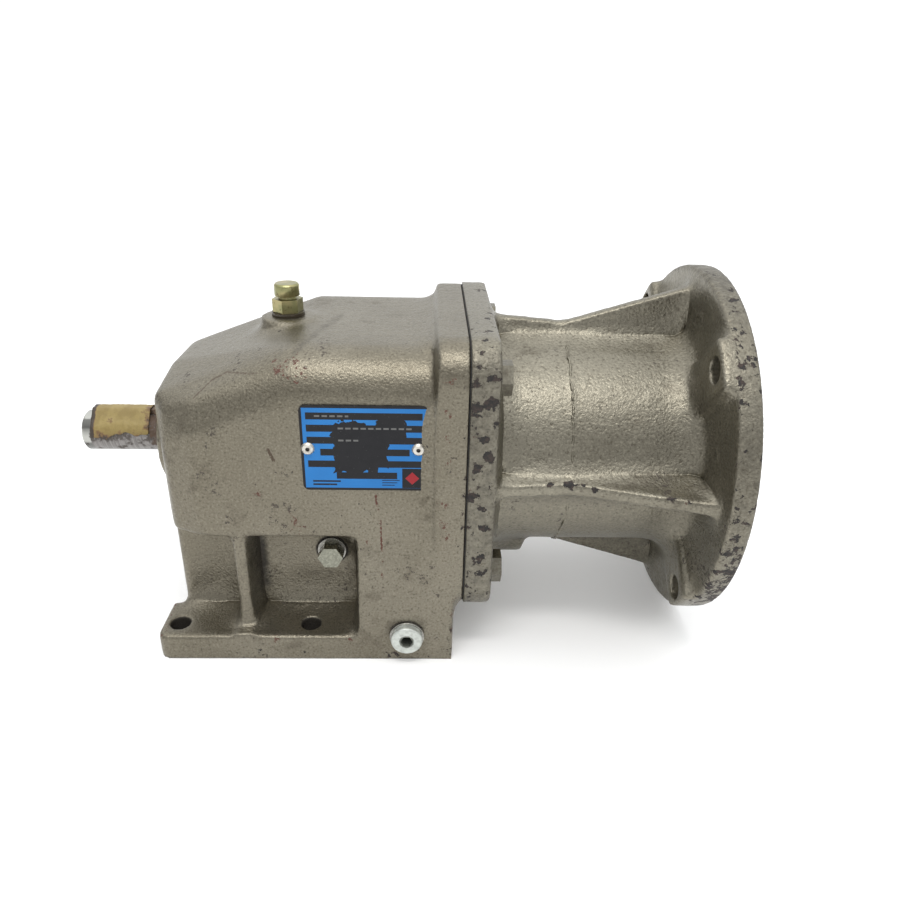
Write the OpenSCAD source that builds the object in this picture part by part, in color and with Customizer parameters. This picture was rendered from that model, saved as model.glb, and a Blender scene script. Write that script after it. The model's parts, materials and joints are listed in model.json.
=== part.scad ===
// Foot-mounted coaxial two-stage helical gear reducer with a C-face motor adapter.
// Origin: centre of the foot bolt pattern, on the base face. +X runs along the shafts
// towards the motor flange, +Y to the far side and +Z up. Millimetres.

/* [Shaft line] */
// Height of the input and output shaft axis above the base
axis_h = 85; // [84.5:0.5:88]
// Distance between the shaft axis and the countershaft below it
centre_dist = 42; // [41.5:0.5:43]
// Output shaft diameter, 3/4 in
shaft_d = 19.05; // [18:0.05:19.6]
// Length of output shaft beyond its shoulder
shaft_len = 40; // [36:1:60]
// Bore of the motor-side coupling hub, 5/8 in
motor_bore_d = 15.875; // [12:0.125:16]

/* [Gear train] */
// Teeth of the pinion on the input shaft
input_teeth = 20; // [19:1:22]
// Teeth of the wheel on the countershaft
driven_teeth = 42; // [40:1:43]
// Teeth of the pinion on the countershaft
pinion_teeth = 15; // [15:1:17]
// Teeth of the wheel on the output shaft
output_teeth = 45; // [43:1:46]
// Helix angle of both stages, in degrees
helix_deg = 10; // [0:1:12]
// Width of a wheel's teeth
wheel_w = 20; // [16:1:20]
// Flank clearance of each gear, on each side of a tooth
flank_gap = 0.08; // [0.06:0.01:0.12]

/* [Foot] */
// Width of the foot across the shafts
foot_w = 130; // [128:1:140]
// Thickness of the foot pads
pad_t = 12.5; // [10:0.5:14]
// Bolt spacing along the shafts
foot_pitch_x = 60; // [58:1:62]
// Bolt spacing across the shafts
foot_pitch_y = 110; // [106:1:110]
// Diameter of the foot bolt holes
foot_hole_d = 9; // [8.5:0.5:10]

/* [Gearcase] */
// Width of the upper body
body_w = 116; // [112:1:118]
// Height of the flat part of the roof
roof_z = 142.2; // [140:0.2:144]
// Height of the roof line at the nose
nose_z = 119.5; // [118:0.5:123]
// Casting wall thickness
wall = 5.5; // [5:0.5:6]

/* [Motor adapter] */
// Outside diameter of the motor flange, 6.5 in
flange_od = 165.1; // [160:0.1:168]
// Motor bolt circle, 5.875 in
bolt_circle = 149.2; // [148:0.1:150]
// Clearance hole for the motor bolts, 7/16 in
motor_hole_d = 11.1; // [10.2:0.1:11.6]
// Pilot recess for the motor face, 4.5 in
pilot_d = 114.3; // [110:0.1:118]
// Outside radius of the neck
neck_r = 50.3; // [49:0.1:52]

/* [Hidden] */
$fn = 64;

counter_h = axis_h - centre_dist;

// Stations along X
shoulder_x = -40.7;
nose_x = -32.4;
foot_x0 = -38;
foot_x1 = 95.4;
roof_x = 27.6;
case_flange_x = 86.6;
case_face_x = 99.5;
gasket_t = 0.5;
plate_x = case_face_x + gasket_t;
plate_t = 12;
plate_x1 = plate_x + plate_t;
face_x = 212.8;
flange_t = 10.1;
flange_back_x = face_x - flange_t;
seam_x = 145;

// Body and foot
overhang_z = 61;
recess_y = 39;
sump_z = 9;
pocket_x1 = 52.6;
rib_x = -1.4;
rib_t = 6;
rib_y = 57.5;
nose_r = 20;
shoulder_r = 20;
edge_r = 5;
nose_crown = 4.5;
crown_y = 14;
lower_r = 4;
boss_r = 25;

// Joint between the two castings
joint_w = 124;
joint_r = 16;
joint_top = 63;
joint_low = 62;
plate_grow = 0.8;
belly_r = 36;
belly_w = 60;
bolt_y = 46;
bolt_z = 46;
bolt_d = 8;
bolt_grip = 10;
head_af = 13;
head_t = 5.3;
dowel_y = 54;
dowel_z = 12;
dowel_d = 6;
dowel_len = 16;

// Motor adapter
gusset_t = 6;
flare_x = 196.5;
flare_rise = 5;
pad_back_x = 197.4;
pad_w = 24;
neck_wall = 7;
bell_x = 122;
bell_taper_x = 197;
bell_mouth_r = 54;
pilot_depth = 5;
bearing_hub_r = 27;
bearing_hub_x = 149;
counter_boss_r = 21.5;
counter_boss_x = 131.6;

// Vent, level, drain and nameplate
vent_x = 19.3;
level_x = 39.1;
level_z = 42.5;
drain_x = 74.6;
drain_z = 13.3;
plate_c = [57.6, 104];
nameplate_size = [52, 38];
nameplate_t = 0.8;
rivet_dx = 22.5;
rivet_r = 1.2;
rivet_shift = -0.7;
rivet_head_r = 2.8;
vent_d = 8;
vent_boss_r = 12.5;
vent_z = roof_z + 1.2;
vent_hex_deg = 18;
level_d = 8;
drain_d = 10;

// Bearings, as [bore, outside, width, ball count, ball diameter]
BRG_MAIN = [20, 42, 12, 9, 6.35];
BRG_COUNTER = [15, 35, 11, 8, 5.95];
out_brg_x = [-30.5, -2];
counter_brg_x = [-2, 103];
in_brg_x = [101, 127];
ball_gap = 0.1;
ring_share = 0.22;
seat_r = BRG_MAIN[0] / 2;
counter_seat_r = BRG_COUNTER[0] / 2;
groove_r = 22.2;
clip_t = 1.2;
clip_depth = 0.6;
out_hub_x = 10.5;
out_hub_r = 26.5;
counter_hub_x = 9.5;
counter_hub_r = 22;
end_room_r = 12;
seal_w = 7;
input_seal_x = 141;
input_clip_x = 139;
seal_clip_x = -32.4;

// Shafts and gears
out_gear_x = 12;
out_end_x = 35;
driven_x = 54;
in_end_x = 158;
input_d = 19;
key_w = 4.76;
key_top = 11.76;
key_x0 = shoulder_x - shaft_len + 5;
key_x1 = shoulder_x - 3;
gear_key_w = 6;
gear_key_z = [6.5, 12.5];
module_1 = 2 * centre_dist / (input_teeth + driven_teeth);
module_2 = 2 * centre_dist / (pinion_teeth + output_teeth);
pressure_deg = 20;
pinion_over = 2;
pinion_shift = 0.2;

// Coupling
hub_r = 27.5;
hub_boss_r = 20;
jaw_r = 26.8;
hub_x = 151;
hub_body = 12;
jaw_len = 12;
jaw_gap = 0.2;
motor_hub_x1 = 206;
spider_bore_r = 9.2;
spider_hub_r = 13.3;
spider_half_deg = 9.5;
jaw_inner_r = 13.5;
jaw_half_deg = 20;
screw_x = 196;
screw_r = 2.5;
screw_z = [11, 19];

// ---------- helpers ----------

// Lifts children to the shaft axis, with their own x, y along Y, Z and their height along X
module on_axis(x = 0, h = axis_h) {
    translate([x, 0, h]) rotate([90, 0, 90]) children();
}

module rod(x0, x1, r, h = axis_h) {
    on_axis(x0, h) cylinder(h = x1 - x0, r = r);
}

module tube(x0, x1, r_out, r_in, h = axis_h) {
    on_axis(x0, h) difference() {
        cylinder(h = x1 - x0, r = r_out);
        translate([0, 0, -1]) cylinder(h = x1 - x0 + 2, r = r_in);
    }
}

module hex(af, h) {
    cylinder(h = h, r = af / sqrt(3), $fn = 6);
}

module rounded_rect(w, h, r) {
    translate([-w / 2 + r, -h / 2]) square([w - 2 * r, h]);
    translate([-w / 2, -h / 2 + r]) square([w, h - 2 * r]);
    for (sx = [-1, 1], sy = [-1, 1]) {
        translate([sx * (w / 2 - r), sy * (h / 2 - r)]) circle(r = r);
    }
}

module bolt_places() {
    for (sy = [-1, 1], sz = [-1, 1]) {
        translate([sy * bolt_y, sz * bolt_z]) children();
    }
}

// ---------- castings ----------

// Outline of the bolted joint between the castings, about the shaft axis
module joint_outline(grow = 0) {
    mid = (joint_top - joint_low) / 2;
    translate([0, mid]) rounded_rect(joint_w + 2 * grow, joint_top + joint_low + 2 * grow, joint_r + grow);
    translate([-belly_w / 2, -joint_low - 6]) square([belly_w, 12]);
    translate([0, -centre_dist]) circle(r = belly_r + grow);
}

module joint_opening() {
    difference() {
        union() {
            translate([0, 3]) rounded_rect(92, 98, 12);
            translate([0, -centre_dist]) circle(r = 31.5);
        }
        bolt_places() circle(r = 10);
        for (s = [-1, 1]) translate([s * (dowel_y + 1), dowel_z]) circle(r = 12);
    }
}

module joint_holes(d_bolt) {
    bolt_places() circle(d = d_bolt);
    for (s = [-1, 1]) translate([s * dowel_y, dowel_z]) circle(d = dowel_d);
}

// Roof line height at a station along X
function roof_at(x) = x >= roof_x ? roof_z
    : roof_z - (roof_z - nose_z) * (roof_x - x) / (roof_x - nose_x);

// Upper body, with a nose rounded in plan and arched on top, and a roof that climbs to its flat part
module upper_body(t, z0, x1) {
    half = body_w / 2 - t;
    corner = nose_r - edge_r;
    small = edge_r - t / 2;
    big = shoulder_r - t;
    drop = big - small;
    front = nose_x + t + nose_r - t / 2;
    hull() {
        for (s = [-1, 1]) {
            for (a = [0, 45, 90]) {
                x = front - corner * cos(a);
                y = half - big + drop * sin(a);
                for (b = [0, 45, 90]) {
                    out = drop * sin(a) * cos(b);
                    up = drop * sin(b);
                    translate([x, s * (half - big + out), roof_at(x) - t - big + up])
                        sphere(r = small, $fn = 24);
                }
                translate([x, s * y, z0]) cylinder(h = 1, r = small, $fn = 24);
            }
            translate([front - corner, s * crown_y, roof_at(front - corner) - t - small + nose_crown])
                sphere(r = small, $fn = 24);
            translate([roof_x, s * (half - big), roof_z - t - big])
                rotate([0, 90, 0]) cylinder(h = x1 - roof_x, r = big, $fn = 32);
            translate([roof_x, s * (half - 1) - 1, z0]) cube([x1 - roof_x, 2, 1]);
        }
    }
}

// Lower body between the two rows of foot pockets
module lower_body(t, z0, z1) {
    r = max(lower_r - t, 1);
    x0 = nose_x + t;
    y = recess_y - t;
    translate([0, 0, z0]) linear_extrude(z1 - z0) {
        for (s = [-1, 1]) translate([x0 + r, s * (y - r)]) circle(r = r);
        translate([x0, -(y - r)]) square([r, 2 * (y - r)]);
        translate([x0 + r, -y]) square([foot_x1 - x0 - r - (t > 0 ? 2 : 0), 2 * y]);
    }
}

// Solid block at the motor end of the foot, flared from the body down to the base
module drain_block() {
    half = body_w / 2;
    low = foot_w / 2;
    translate([pocket_x1, 0, 0]) rotate([90, 0, 90]) linear_extrude(foot_x1 - pocket_x1)
        polygon([[-low, 0], [low, 0], [low, pad_t + 10], [half, overhang_z],
                 [-half, overhang_z], [-low, pad_t + 10]]);
}

// Foot, full width under the body, with a toe on each side in front of it
module foot_pad() {
    r = 4;
    toe = foot_w / 2 - recess_y;
    linear_extrude(pad_t) {
        translate([nose_x, -foot_w / 2]) square([foot_x1 - nose_x, foot_w]);
        for (s = [-1, 1]) {
            translate([foot_x0 + r, s * (foot_w / 2 - r)]) circle(r = r);
            translate([foot_x0 + r, s * (foot_w / 2 - toe / 2) - toe / 2]) square([r + 2, toe]);
            translate([foot_x0, s * (foot_w / 2 - (toe + r) / 2) - (toe - r) / 2]) square([r, toe - r]);
        }
    }
}

module case_outside() {
    upper_body(0, overhang_z, case_flange_x + 1);
    lower_body(0, 0, overhang_z + 1);
    drain_block();
    foot_pad();
    translate([rib_x, -rib_y, 0]) cube([rib_t, 2 * rib_y, overhang_z + 1]);
    on_axis(case_flange_x) linear_extrude(case_face_x - case_flange_x) joint_outline();
    rod(shoulder_x, nose_x + 2, boss_r);
    translate([vent_x, 0, vent_z - 12]) cylinder(h = 12, r = vent_boss_r);
}

module case_cavity() {
    difference() {
        union() {
            upper_body(wall, overhang_z + wall, case_flange_x + 1);
            lower_body(wall, sump_z, overhang_z + wall + 1);
        }
        rod(nose_x, out_hub_x, out_hub_r);
        rod(nose_x, counter_hub_x, counter_hub_r, counter_h);
        translate([vent_x, 0, vent_z - 12]) cylinder(h = 12, r = vent_boss_r - 1.5);
    }
    on_axis(case_flange_x - 1) linear_extrude(case_face_x - case_flange_x + 2) joint_opening();
}

module gearcase() {
    color("#9a948a") difference() {
        case_outside();
        case_cavity();
        // output bearing, circlip and seal bores
        rod(shoulder_x - 1, out_brg_x[0] + BRG_MAIN[2], BRG_MAIN[1] / 2);
        rod(out_brg_x[0], out_brg_x[1] + 1, 18.5);
        rod(out_brg_x[1], out_hub_x + 1, BRG_MAIN[1] / 2);
        rod(seal_clip_x - 0.1, out_brg_x[0], groove_r);
        // countershaft bearing seat, with room for the shaft end
        rod(counter_brg_x[0], counter_hub_x + 1, BRG_COUNTER[1] / 2, counter_h);
        rod(counter_brg_x[0] - 5, counter_brg_x[0] + 1, end_room_r, counter_h);
        // joint bolts and dowels
        on_axis(case_face_x - bolt_grip - 1) linear_extrude(bolt_grip + 2) bolt_places() circle(d = bolt_d);
        on_axis(case_face_x - 8) linear_extrude(9)
            for (s = [-1, 1]) translate([s * dowel_y, dowel_z]) circle(d = dowel_d);
        // foot bolts
        for (sx = [-1, 1], sy = [-1, 1]) {
            translate([sx * foot_pitch_x / 2, sy * foot_pitch_y / 2, -1])
                cylinder(h = pad_t + 2, d = foot_hole_d);
        }
        // vent, level and drain holes, with the level plug's spot face
        translate([vent_x, 0, vent_z - 15]) cylinder(h = 16, d = vent_d);
        translate([level_x, -recess_y + 0.6, level_z]) rotate([90, 0, 0]) cylinder(h = 1, r = 7.2);
        translate([level_x, -recess_y + 10, level_z]) rotate([90, 0, 0]) cylinder(h = 11, d = level_d);
        translate([drain_x, -foot_w / 2 + 0.5, drain_z]) rotate([90, 0, 0]) cylinder(h = 1, r = 8.2);
        translate([drain_x, -recess_y + 10, drain_z]) rotate([90, 0, 0])
            cylinder(h = foot_w / 2 - recess_y + 11, d = drain_d);
        // rivet holes of the nameplate
        for (s = [-1, 1]) {
            translate([plate_c[0] + rivet_shift + s * rivet_dx, -body_w / 2 + 4, plate_c[1]])
                rotate([90, 0, 0]) cylinder(h = 5, r = rivet_r);
        }
    }
}

// One gusset, standing on the neck towards +Z before it is turned into place
module gusset() {
    translate([0, gusset_t / 2, 0]) rotate([90, 0, 0]) linear_extrude(gusset_t)
        polygon([[plate_x1 - 1, 40], [plate_x1 - 1, 60.5], [seam_x, 57.5], [flange_back_x + 1, 75.5],
                 [flange_back_x + 1, 40]]);
}

module motor_adapter() {
    color("#a09a90") difference() {
        union() {
            on_axis(plate_x) linear_extrude(plate_t) joint_outline(plate_grow);
            rod(plate_x, flange_back_x, neck_r);
            on_axis(flare_x)
                cylinder(h = flange_back_x - flare_x, r1 = neck_r, r2 = neck_r + flare_rise);
            rod(flange_back_x, face_x, flange_od / 2);
            rod(plate_x, counter_boss_x, counter_boss_r, counter_h);
            translate([0, 0, axis_h]) {
                for (a = [0:90:270]) rotate([a, 0, 0]) gusset();
            }
            // bolt pads on the back of the flange
            intersection() {
                rod(pad_back_x, flange_back_x + 1, flange_od / 2);
                translate([pad_back_x - 1, 0, axis_h]) {
                    for (a = [45:90:315])
                        rotate([a, 0, 0]) translate([0, -pad_w / 2, 45]) cube([8, pad_w, 40]);
                }
            }
        }
        // bell cavity around the bearing hub
        difference() {
            rod(bell_x, flange_back_x, neck_r - neck_wall);
            rod(plate_x, bearing_hub_x, bearing_hub_r);
        }
        on_axis(bell_taper_x) cylinder(h = face_x - bell_taper_x - pilot_depth + 0.2,
                                       r1 = neck_r - neck_wall, r2 = bell_mouth_r);
        rod(face_x - pilot_depth, face_x + 1, pilot_d / 2);
        // input bearing, circlip and seal bores
        rod(plate_x - 1, in_brg_x[0] + BRG_MAIN[2], BRG_MAIN[1] / 2);
        rod(in_brg_x[0], in_brg_x[1] + 1, 18.5);
        rod(in_brg_x[1], bearing_hub_x + 1, BRG_MAIN[1] / 2);
        rod(input_clip_x, input_clip_x + 1.6, groove_r);
        // countershaft bearing seat, with room for the shaft end
        rod(plate_x - 1, counter_brg_x[1] + BRG_COUNTER[2], BRG_COUNTER[1] / 2, counter_h);
        rod(counter_brg_x[1] + BRG_COUNTER[2] - 1, 118, end_room_r, counter_h);
        // joint bolts and dowels
        on_axis(plate_x - 1) linear_extrude(plate_t + 2) bolt_places() circle(d = bolt_d + 0.8);
        on_axis(plate_x - 1) linear_extrude(9)
            for (s = [-1, 1]) translate([s * dowel_y, dowel_z]) circle(d = dowel_d);
        // motor bolts
        translate([flange_back_x - 8, 0, axis_h]) {
            for (a = [45:90:315]) {
                rotate([a, 0, 0]) translate([0, 0, bolt_circle / 2])
                    rotate([0, 90, 0]) cylinder(h = 20, d = motor_hole_d);
            }
        }
    }
}

module housing_gasket() {
    color("#26241f") on_axis(case_face_x) linear_extrude(gasket_t) difference() {
        joint_outline(-0.4);
        joint_opening();
        joint_holes(bolt_d + 0.8);
    }
}

// ---------- joint hardware ----------

module housing_bolts() {
    color("#8c8a84") on_axis(0) {
        bolt_places() {
            translate([0, 0, case_face_x - bolt_grip])
                cylinder(h = bolt_grip + gasket_t + plate_t + 1, d = bolt_d);
            translate([0, 0, plate_x1]) hex(head_af, head_t);
        }
    }
}

module dowel_pins() {
    color("silver") on_axis(case_face_x - 7.8) linear_extrude(dowel_len - 0.5)
        for (s = [-1, 1]) translate([s * dowel_y, dowel_z]) circle(d = dowel_d);
}

// ---------- plugs and nameplate ----------

module vent_plug() {
    color("#b9a65a") translate([vent_x, 0, vent_z]) {
        translate([0, 0, -9]) cylinder(h = 9, d = vent_d);
        cylinder(h = 1.6, r = 7.4);
        translate([0, 0, 1.6]) rotate(vent_hex_deg) hex(12, 6);
        cylinder(h = 9, d = vent_d);
    }
}

module vent_cap() {
    color("#c2b06a") translate([vent_x, 0, vent_z + 9]) {
        cylinder(h = 4.6, r = 5.6);
        translate([0, 0, 4.6]) cylinder(h = 0.8, r1 = 5.6, r2 = 4.9);
    }
}

module level_plug() {
    color("#b5b2aa") translate([level_x, -recess_y, level_z]) rotate([90, 0, 0]) {
        translate([0, 0, -6]) cylinder(h = 7, d = level_d);
        translate([0, 0, 0.9]) hex(10, 6.5);
    }
}

module level_plug_washer() {
    color("#6d6a62") translate([level_x, -recess_y + 0.6, level_z]) rotate([90, 0, 0])
        linear_extrude(1.5) difference() {
            circle(r = 6.6);
            circle(d = level_d);
        }
}

module drain_plug() {
    color("#d0cec8") translate([drain_x, -foot_w / 2, drain_z]) rotate([90, 0, 0]) difference() {
        union() {
            translate([0, 0, -10]) cylinder(h = 11, d = drain_d);
            translate([0, 0, 1]) cylinder(h = 2.6, r = 7);
            translate([0, 0, 3.6]) cylinder(h = 0.6, r1 = 7, r2 = 6.4);
        }
        translate([0, 0, -2]) hex(5, 8);
    }
}

module drain_plug_washer() {
    color("#77736a") translate([drain_x, -foot_w / 2 + 0.5, drain_z]) rotate([90, 0, 0])
        linear_extrude(1.5) difference() {
            circle(r = 7.8);
            circle(d = drain_d);
        }
}

module nameplate() {
    color("#3f8fd6") translate([plate_c[0], -body_w / 2, plate_c[1]]) rotate([90, 0, 0])
        linear_extrude(nameplate_t) difference() {
            rounded_rect(nameplate_size[0], nameplate_size[1], 2.5);
            for (s = [-1, 1]) translate([rivet_shift + s * rivet_dx, 0]) circle(r = rivet_r);
        }
}

module nameplate_rivets() {
    color("silver") for (s = [-1, 1]) {
        translate([plate_c[0] + rivet_shift + s * rivet_dx, -body_w / 2, plate_c[1]]) rotate([90, 0, 0]) {
            translate([0, 0, -3.5]) cylinder(h = 3.5 + nameplate_t, r = rivet_r);
            translate([0, 0, nameplate_t]) difference() {
                cylinder(h = 0.9, r1 = rivet_head_r, r2 = rivet_head_r - 0.7);
                translate([0, 0, 0.3]) cylinder(h = 1, r = 0.7);
            }
        }
    }
}

// ---------- seals and circlips ----------

module lip_seal(x0, shaft_r) {
    translate([x0, 0, axis_h]) rotate([90, 0, 90]) rotate_extrude()
        polygon([[shaft_r + 0.05, 2], [shaft_r + 1.2, 0.6], [15.5, 0.6], [15.5, 0], [21, 0], [21, seal_w],
                 [18, seal_w], [18, 2], [shaft_r + 2, 2], [shaft_r + 1.4, 4.6], [shaft_r + 0.05, 3.4]]);
}

module output_seal() {
    color("#2b2723") lip_seal(shoulder_x + 1, seat_r);
}

module input_seal() {
    color("#2b2723") translate([2 * input_seal_x + seal_w, 0, 0]) mirror([1, 0, 0])
        lip_seal(input_seal_x, seat_r);
}

// Circlip in a bore, with its gap to one side
module bore_circlip(x0, t) {
    on_axis(x0) linear_extrude(t) difference() {
        circle(r = 22.1);
        circle(r = 19.2);
        translate([0, -30]) square([60, 8]);
        translate([-4, -30]) square([8, 20]);
    }
}

module seal_side_circlip() {
    color("#56534d") bore_circlip(seal_clip_x, 1.7);
}

module input_bore_circlip() {
    color("#56534d") bore_circlip(input_clip_x + 0.05, 1.5);
}

// Circlip on a shaft of radius r
module shaft_circlip(x0, t, r, h) {
    on_axis(x0, h) linear_extrude(t) difference() {
        circle(r = r + 2.6);
        circle(r = r - clip_depth);
        translate([-2.5, -r - 4]) square([5, 8]);
    }
}

// ---------- bearings ----------

function ball_circle(b) = (b[0] + b[1]) / 4;
function ring_wall(b) = (b[1] - b[0]) / 2;

module outer_ring(b, x0, h) {
    pr = ball_circle(b);
    on_axis(x0 + b[2] / 2, h) difference() {
        cylinder(h = b[2], r = b[1] / 2, center = true);
        cylinder(h = b[2] + 2, r = pr + ring_share * ring_wall(b), center = true);
        rotate_extrude() translate([pr, 0]) circle(r = b[4] / 2 + ball_gap, $fn = 48);
    }
}

module inner_ring(b, x0, h) {
    pr = ball_circle(b);
    on_axis(x0 + b[2] / 2, h) difference() {
        cylinder(h = b[2], r = pr - ring_share * ring_wall(b), center = true);
        cylinder(h = b[2] + 2, r = b[0] / 2, center = true);
        rotate_extrude() translate([pr, 0]) circle(r = b[4] / 2 + ball_gap, $fn = 48);
    }
}

module balls(b, x0, h) {
    on_axis(x0 + b[2] / 2, h) {
        for (i = [0:b[3] - 1]) rotate(i * 360 / b[3]) translate([ball_circle(b), 0]) sphere(d = b[4]);
    }
}

module cage(b, x0, h) {
    pr = ball_circle(b);
    on_axis(x0 + b[2] / 2, h) difference() {
        cylinder(h = b[4] + 2.4, r = pr + 1, center = true);
        cylinder(h = b[2] + 1, r = pr - 1, center = true);
        for (i = [0:b[3] - 1]) rotate([0, 90, i * 360 / b[3]])
            translate([0, 0, pr - 2]) cylinder(h = 4, r = b[4] / 2 + ball_gap);
    }
}

module output_outer_rings() {
    color("#a9aaab") for (x = out_brg_x) outer_ring(BRG_MAIN, x, axis_h);
}

module countershaft_outer_rings() {
    color("#a9aaab") for (x = counter_brg_x) outer_ring(BRG_COUNTER, x, counter_h);
}

module input_outer_rings() {
    color("#a9aaab") for (x = in_brg_x) outer_ring(BRG_MAIN, x, axis_h);
}

module output_inner_rings() {
    color("#b3b4b5") for (x = out_brg_x) inner_ring(BRG_MAIN, x, axis_h);
}

module countershaft_inner_rings() {
    color("#b3b4b5") for (x = counter_brg_x) inner_ring(BRG_COUNTER, x, counter_h);
}

module input_inner_rings() {
    color("#b3b4b5") for (x = in_brg_x) inner_ring(BRG_MAIN, x, axis_h);
}

module output_bearing_balls() {
    color("#d8dadb") for (x = out_brg_x) balls(BRG_MAIN, x, axis_h);
}

module countershaft_bearing_balls() {
    color("#d8dadb") for (x = counter_brg_x) balls(BRG_COUNTER, x, counter_h);
}

module input_bearing_balls() {
    color("#d8dadb") for (x = in_brg_x) balls(BRG_MAIN, x, axis_h);
}

module output_bearing_cages() {
    color("#c2a35a") for (x = out_brg_x) cage(BRG_MAIN, x, axis_h);
}

module countershaft_bearing_cages() {
    color("#c2a35a") for (x = counter_brg_x) cage(BRG_COUNTER, x, counter_h);
}

module input_bearing_cages() {
    color("#c2a35a") for (x = in_brg_x) cage(BRG_MAIN, x, axis_h);
}

// ---------- gears ----------

function inv_deg(a) = tan(a) * 180 / PI - a;

// Half of a tooth's angle at radius r, for z teeth of module m and profile shift x
function half_tooth(z, m, x, r) =
    let (rp = m * z / 2, rb = rp * cos(pressure_deg), rr = max(r, rb))
    90 / z + 2 * x * tan(pressure_deg) / z * 180 / PI + inv_deg(pressure_deg) - inv_deg(acos(rb / rr))
    - flank_gap / rp * 180 / PI;

// Outline of a gear, with a tooth centred on +Y
function gear_points(z, m, x) =
    let (rp = m * z / 2, ra = rp + m * (1 + x), rf = rp - m * (1.25 - x))
    let (radii = [rf, (rf + rp) / 2, (rp + ra) / 2, ra])
    [for (i = [0:z - 1]) for (k = [0:7])
        let (r = radii[k < 4 ? k : 7 - k], side = k < 4 ? -1 : 1)
        let (a = 90 + i * 360 / z + side * half_tooth(z, m, x, r))
        [r * cos(a), r * sin(a)]];

// Turn that puts a tooth space of a gear straight down, against its partner's top tooth
function gap_down(z) = z % 2 == 0 ? 180 / z : 0;

// Helical gear body between two stations, in phase at the middle of its width
module gear_body(z, m, x, x0, w, hand, h, phase = 0) {
    turn = hand * w * tan(helix_deg) / (m * z / 2) * 180 / PI;
    on_axis(x0, h) rotate(phase + turn / 2) linear_extrude(height = w, twist = turn, slices = 2)
        polygon(gear_points(z, m, x));
}

// A parallel key: a bar with square ends on top of a shaft
module key_bar(x0, x1, w, z0, z1, h) {
    translate([x0, -w / 2, h + z0]) cube([x1 - x0, w, z1 - z0]);
}

module output_gear() {
    color("#9fa1a3") difference() {
        gear_body(output_teeth, module_2, -pinion_shift, out_gear_x, wheel_w, 1, axis_h,
                  gap_down(output_teeth));
        rod(out_gear_x - 1, out_gear_x + wheel_w + 1, 10);
        key_bar(out_gear_x - 1, out_gear_x + wheel_w + 1, gear_key_w, 5, gear_key_z[1] + 0.3, axis_h);
    }
}

module output_gear_key() {
    color("#8f9194")
        key_bar(out_gear_x + 0.5, out_gear_x + wheel_w - 0.5, gear_key_w, gear_key_z[0], gear_key_z[1],
                axis_h);
}

module output_shaft() {
    color("#b4b4b2") difference() {
        union() {
            on_axis(shoulder_x - shaft_len) cylinder(h = 1, r1 = shaft_d / 2 - 1, r2 = shaft_d / 2);
            rod(shoulder_x - shaft_len + 1, shoulder_x, shaft_d / 2);
            rod(shoulder_x, out_end_x, 10);
            rod(out_brg_x[0] + BRG_MAIN[2], out_brg_x[1], 12.5);
        }
        key_bar(key_x0, key_x1, key_w, 7, 12, axis_h);
        key_bar(out_gear_x + 0.5, out_gear_x + wheel_w - 0.5, gear_key_w, gear_key_z[0], 12, axis_h);
        tube(out_gear_x + wheel_w, out_gear_x + wheel_w + clip_t, seat_r + 2, seat_r - clip_depth);
    }
}

module output_key() {
    color("#8f9194") key_bar(key_x0, key_x1, key_w, 7, key_top, axis_h);
}

// Sheet wrapped over the key and the upper half of the shaft
module key_wrap() {
    r = shaft_d / 2;
    half = key_w / 2;
    color("#c9a84a") on_axis(shoulder_x - 34) linear_extrude(27.5) difference() {
        union() {
            circle(r = r + 0.5);
            polygon([[-half - 5.6, 4], [half + 5.6, 4], [half + 0.6, key_top + 0.54],
                     [-half - 0.6, key_top + 0.54]]);
        }
        circle(r = r + 0.05);
        translate([-half - 0.07, 0]) square([key_w + 0.14, key_top + 0.05]);
        polygon([[-half - 5.07, 4], [half + 5.07, 4], [half + 0.07, key_top + 0.05],
                 [-half - 0.07, key_top + 0.05]]);
        translate([-20, -20]) square([40, 21.2]);
    }
}

module output_spacer() {
    color("#8f9194") tube(out_brg_x[1] + BRG_MAIN[2], out_gear_x, 13, 10);
}

module output_gear_circlip() {
    color("#56534d") shaft_circlip(out_gear_x + wheel_w, clip_t, seat_r, axis_h);
}

module countershaft() {
    color("#acadae") difference() {
        union() {
            gear_body(pinion_teeth, module_2, pinion_shift, out_gear_x - pinion_over / 2,
                      wheel_w + pinion_over, -1, counter_h);
            rod(counter_brg_x[0] + 1, out_gear_x - 0.9, 7.5, counter_h);
            rod(counter_brg_x[0] + BRG_COUNTER[2], out_gear_x - 0.9, 8.8, counter_h);
            rod(32, 53, 9, counter_h);
            rod(36, 54, 12.5, counter_h);
            rod(53, 76.4, 10, counter_h);
            rod(76, 103, 9.6, counter_h);
            rod(102, 113, 7.5, counter_h);
        }
        key_bar(driven_x + 0.5, driven_x + wheel_w - 0.5, gear_key_w, gear_key_z[0], 12, counter_h);
        tube(driven_x + wheel_w, driven_x + wheel_w + clip_t, seat_r + 2, seat_r - clip_depth, counter_h);
    }
}

module driven_gear() {
    color("#9fa1a3") difference() {
        gear_body(driven_teeth, module_1, 0, driven_x, wheel_w, 1, counter_h);
        rod(driven_x - 1, driven_x + wheel_w + 1, 10, counter_h);
        key_bar(driven_x - 1, driven_x + wheel_w + 1, gear_key_w, 5, gear_key_z[1] + 0.3, counter_h);
    }
}

module driven_gear_key() {
    color("#8f9194")
        key_bar(driven_x + 0.5, driven_x + wheel_w - 0.5, gear_key_w, gear_key_z[0], gear_key_z[1],
                counter_h);
}

module countershaft_spacer() {
    color("#8f9194") tube(driven_x + wheel_w + clip_t, counter_brg_x[1], 12.5, seat_r, counter_h);
}

module driven_gear_circlip() {
    color("#56534d") shaft_circlip(driven_x + wheel_w, clip_t, seat_r, counter_h);
}

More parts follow.
